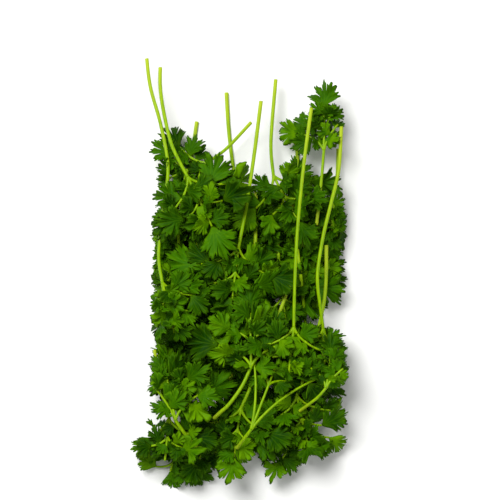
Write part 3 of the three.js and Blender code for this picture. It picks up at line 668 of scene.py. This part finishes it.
def outline_of(leaf):
    """A leaflet's outline as distances and angles about its blade's middle.

    From each tip to the cut beside it the reach falls off as a power of the way, so that tips are
    round and cuts are sharp. The base runs in to a narrow root.
    """
    corner = np.arange(len(TEETH))
    reach = TEETH[:, 1] * (1 + REACH_JITTER * np.sin(leaf["phase2"] + REACH_STEP * corner))
    turn = np.radians(TEETH[:, 0] + ANGLE_JITTER * np.sin(leaf["phase"] + ANGLE_STEP * corner))
    steps = np.arange(SPAN_STEPS) / SPAN_STEPS
    phi, rho = [], []
    for i in range(len(TEETH) - 1):
        from_tip = i % 2 == 0
        u = steps if from_tip else 1 - steps
        tip, cut = (i, i + 1) if from_tip else (i + 1, i)
        rho.append(reach[cut] + (reach[tip] - reach[cut]) * (1 - u ** BLUNTNESS))
        phi.append(turn[i] + (turn[i + 1] - turn[i]) * steps)
    rho, phi = np.concatenate(rho + [[reach[-1]]]), np.concatenate(phi + [[turn[-1]]])
    tip = rho[-1] * np.array([math.cos(phi[-1]), math.sin(phi[-1])])
    root = np.array([-BLADE_MIDDLE, STEM_WIDTH])
    way = (np.arange(BASE_STEPS) + 1)[:, None] / BASE_STEPS
    side = tip + (root - tip) * way
    side[:, 1] -= BASE_BOW * np.sin(np.pi * way[:, 0])
    base = np.vstack([side, side[::-1] * (1, -1)])
    rho = np.append(rho, np.hypot(base[:, 0], base[:, 1]))
    phi = np.append(phi, np.arctan2(base[:, 1], base[:, 0]))
    return rho, phi


OUTLINE_POINTS = (len(TEETH) - 1) * SPAN_STEPS + 1 + 2 * BASE_STEPS


def leaf_faces():
    """The faces that every leaflet has, as one array of the four-sided and one of the others.

    Bands between the rings join the shared rim to a fan round each middle. Points are the rim
    first, then the upper face's rings and middle, then the under face's.
    """
    m, k = OUTLINE_POINTS, len(RINGS)
    a = np.arange(m)
    b = (a + 1) % m
    bands, fans = [], []
    for side, way in ((0, 1), (1, -1)):  # the under face is wound the other way
        start = m + side * (k * m + 1)
        rings = [start + j * m for j in range(k)] + [0]
        for inner, outer in zip(rings, rings[1:]):
            band = np.stack([inner + a, outer + a, outer + b, inner + b], axis=1)
            bands.append(band[:, ::way])
        centre = np.full(m, start + k * m)
        fans.append(np.stack([centre, start + a, start + b], axis=1)[:, ::way])
    return np.vstack(bands), np.vstack(fans)


def leaf_points(leaf):
    """A leaflet's points in millimetres, with their place in its plane, edge and under values.

    The middle surface is the layout's, plus a crisp frill of waves that grows as the cube of the
    way out, and a cup in each lobe: one less the cosine round it, which grows as the distance to
    the power of 1.5. The thickness falls off as the fourth power of the way out, to none.
    """
    rho, phi = outline_of(leaf)
    out = np.append(RINGS, 1)[:, None]
    rho, phi = rho * out, np.broadcast_to(phi, (len(out), len(phi)))
    rho, phi = np.append(rho.ravel(), 0), np.append(phi.ravel(), 0)
    out = np.append(np.repeat(out[:, 0], OUTLINE_POINTS), 0)
    middle = on_leaflet(leaf, rho, phi)
    ahead = np.clip((BLADE_MIDDLE + rho * np.cos(phi)) / BLADE_MIDDLE, 0, 1)
    frill = FRILL * out ** 3 * np.sin(FRILL_WAVES * phi + 3 * leaf["phase"]) * ahead
    cupped = LOBE_CUP * rho ** 1.5 * (1 - np.cos(2 * np.pi * phi / LOBE_TURN)) / 2 * ahead
    middle += (leaf["length"] * (frill + cupped))[:, None] * leaf["normal"]
    half = LEAF_THICKNESS / 2 * (1 - out ** 4)
    middle[:, 2] = np.maximum(middle[:, 2], FLOOR_CLEARANCE)
    rim = slice(len(RINGS) * OUTLINE_POINTS, (len(RINGS) + 1) * OUTLINE_POINTS)
    inner = np.r_[0:rim.start, rim.stop]
    points = np.vstack([middle[rim], (middle + half[:, None] * leaf["normal"])[inner],
                        (middle - half[:, None] * leaf["normal"])[inner]])
    place = np.stack([BLADE_MIDDLE + rho * np.cos(phi), rho * np.sin(phi)], axis=1)
    place = np.vstack([place[rim], place[inner], place[inner]])
    edge = np.concatenate([out[rim], out[inner] ** 4, out[inner] ** 4])
    under = np.concatenate([np.full(OUTLINE_POINTS, 0.5), np.zeros(len(inner)),
                            np.ones(len(inner))])
    return points, place, edge, under


LEAF_FACES = leaf_faces()
for i, leaves in sorted(leafage.items()):
    made = [leaf_points(leaf) for leaf in leaves]
    count = len(made[0][0])
    first = count * np.arange(len(made))[:, None, None]  # each leaflet's first point
    faces = [face for kind in LEAF_FACES
             for face in (first + kind).reshape(-1, kind.shape[1]).tolist()]
    points, place, edge, under = (np.concatenate(part) for part in zip(*made))
    tone = np.repeat([TONE_SPREAD * (leaf["tone"] - TONE_LEVEL) for leaf in leaves], count)
    piece = make_piece(f"leaflets_{i + 1:02d}", points, faces, leaf_finish,
                       f"sprig_{i + 1:02d}", {"tone": tone, "edge": edge, "under": under})
    corners = np.empty(len(piece.data.loops), np.int32)
    piece.data.loops.foreach_get("vertex_index", corners)
    layer = piece.data.uv_layers.new(name="leaf_plane")
    layer.data.foreach_set("uv", place[corners].astype(np.float32).ravel())


# Floor and light
# A plain white table under a large soft light, with a weaker one from the leafy end, as in a
# studio.
FLOOR_SIZE = 3.0

mesh = bpy.data.meshes.new("floor")
half = FLOOR_SIZE / 2
mesh.from_pydata([(-half, -half, 0), (half, -half, 0), (half, half, 0), (-half, half, 0)], [],
                 [(0, 1, 2, 3)])
floor = bpy.data.objects.new("floor", mesh)
bpy.context.collection.objects.link(floor)
floor_finish, shader = new_material("matt_white_board", roughness=0.9, specular=0.2)
shader.inputs["Base Color"].default_value = linear("#f6f6f4")
mesh.materials.append(floor_finish)


def add_light(name, place, size, power):
    """A square soft light that faces the bunch."""
    data = bpy.data.lights.new(name, "AREA")
    data.size = size
    data.energy = power
    light = bpy.data.objects.new(name, data)
    bpy.context.collection.objects.link(light)
    light.location = place
    x, y, z = PHOTO_CENTRE - np.array(place)
    light.rotation_euler = (math.atan2(math.hypot(x, y), -z), 0, math.atan2(y, x) - math.pi / 2)


add_light("key_light", (-0.35, 0.35, 0.95), size=0.6, power=14)
add_light("fill_light", (0.5, -0.6, 0.7), size=0.9, power=2.5)
world = bpy.data.worlds.new("studio")
world.use_nodes = True
background = world.node_tree.nodes["Background"]
background.inputs["Color"].default_value = (1, 1, 1, 1)
background.inputs["Strength"].default_value = 0.22
bpy.context.scene.world = world
bpy.context.scene.view_settings.view_transform = "Standard"
